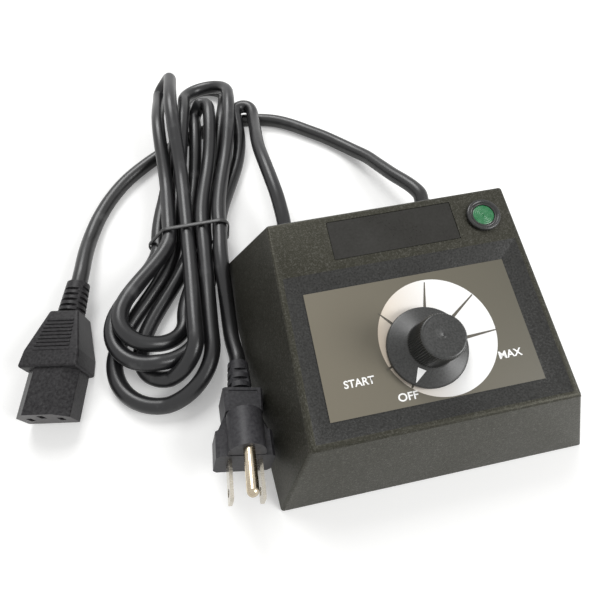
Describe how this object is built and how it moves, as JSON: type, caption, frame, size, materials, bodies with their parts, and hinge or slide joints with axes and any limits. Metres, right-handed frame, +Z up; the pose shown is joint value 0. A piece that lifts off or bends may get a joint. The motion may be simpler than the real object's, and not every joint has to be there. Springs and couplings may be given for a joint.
{
  "type": "motor speed control console",
  "caption": "Sloped bench console with a rotary speed dial and pilot lamp, a mains cord tied in a hank with a grounded plug, and an outlet cord with an appliance connector.",
  "frame": {"origin": "on the table, in the middle of the console's footprint, cords left out", "axes": "+X to the console's right, +Y to its back, where the cords leave, +Z up"},
  "size_m": [0.2596, 0.2874, 0.0669],
  "materials": {
    "housing": "black moulded, fine grain",
    "base_plate": "black moulded",
    "base_screws": "zinc plated",
    "rubber_feet": "matt",
    "face_plate": "warm grey, satin printed",
    "name_plate": "dark brown-black, smooth and bare",
    "knob": "black satin",
    "knob_pointer": "white paint fill",
    "knob_set_screw": "plain",
    "control_shaft": "turned",
    "control_can": "pressed",
    "control_bushing": "turned",
    "control_track": "carbon on board",
    "control_rotor": "moulded",
    "control_washer": "plain",
    "control_nut": "turned",
    "power_switch": "moulded",
    "lamp_bezel": "black satin",
    "lamp_lens": "green, translucent",
    "lamp_bulb": "clear, on a pale base",
    "lamp_nut": "plain",
    "circuit_board": "green lacquer",
    "board_standoffs": "plain",
    "board_screws": "zinc plated",
    "heat_sink": "black anodised",
    "triac": "moulded",
    "choke": "enamelled winding",
    "capacitors": "dipped",
    "resistors": "lacquered",
    "fuse": "clear",
    "fuse_clips": "plated",
    "terminal_block": "moulded",
    "mains_leads": "black jacket",
    "outlet_leads": "black jacket",
    "control_leads": "insulated",
    "lamp_leads": "insulated",
    "mains_gland": "black, matt",
    "outlet_gland": "black, matt",
    "mains_cord_run": "black jacket, satin",
    "mains_cord_hank": "black jacket, satin",
    "mains_cord_tail": "black jacket, satin",
    "hank_tie": "black",
    "plug_body": "slate grey-black, satin",
    "plug_blades": "nickel plated",
    "plug_ground_pin": "bright",
    "outlet_cord": "black jacket, satin",
    "connector_body": "slate black, satin",
    "connector_contacts": "plain"
  },
  "bodies": {
    "console": {"housing": "housing", "base_plate": "base_plate", "base_screws": "base_screws", "rubber_feet": "rubber_feet", "face_plate": "face_plate", "name_plate": "name_plate", "control_can": "control_can", "control_bushing": "control_bushing", "control_track": "control_track", "control_washer": "control_washer", "control_nut": "control_nut", "power_switch": "power_switch", "lamp_bezel": "lamp_bezel", "lamp_lens": "lamp_lens", "lamp_bulb": "lamp_bulb", "lamp_nut": "lamp_nut", "circuit_board": "circuit_board", "board_standoffs": "board_standoffs", "board_screws": "board_screws", "heat_sink": "heat_sink", "triac": "triac", "choke": "choke", "capacitors": "capacitors", "resistors": "resistors", "fuse": "fuse", "fuse_clips": "fuse_clips", "terminal_block": "terminal_block", "mains_leads": "mains_leads", "outlet_leads": "outlet_leads", "control_leads": "control_leads", "lamp_leads": "lamp_leads", "mains_gland": "mains_gland", "outlet_gland": "outlet_gland", "mains_cord_run": "mains_cord_run", "mains_cord_hank": "mains_cord_hank", "mains_cord_tail": "mains_cord_tail", "hank_tie": "hank_tie", "plug_body": "plug_body", "plug_blades": "plug_blades", "plug_ground_pin": "plug_ground_pin", "outlet_cord": "outlet_cord", "connector_body": "connector_body", "connector_contacts": "connector_contacts"},
    "dial": {"knob": "knob", "knob_pointer": "knob_pointer", "knob_set_screw": "knob_set_screw", "control_shaft": "control_shaft", "control_rotor": "control_rotor"}
  },
  "joints": [
    {"name": "dial_turn", "type": "hinge", "parent": "console", "child": "dial", "pos_m": [0, -0.01956, 0.04342], "axis": [0, -0.1857, 0.9826], "range_deg": [-255, 0]}
  ]
}
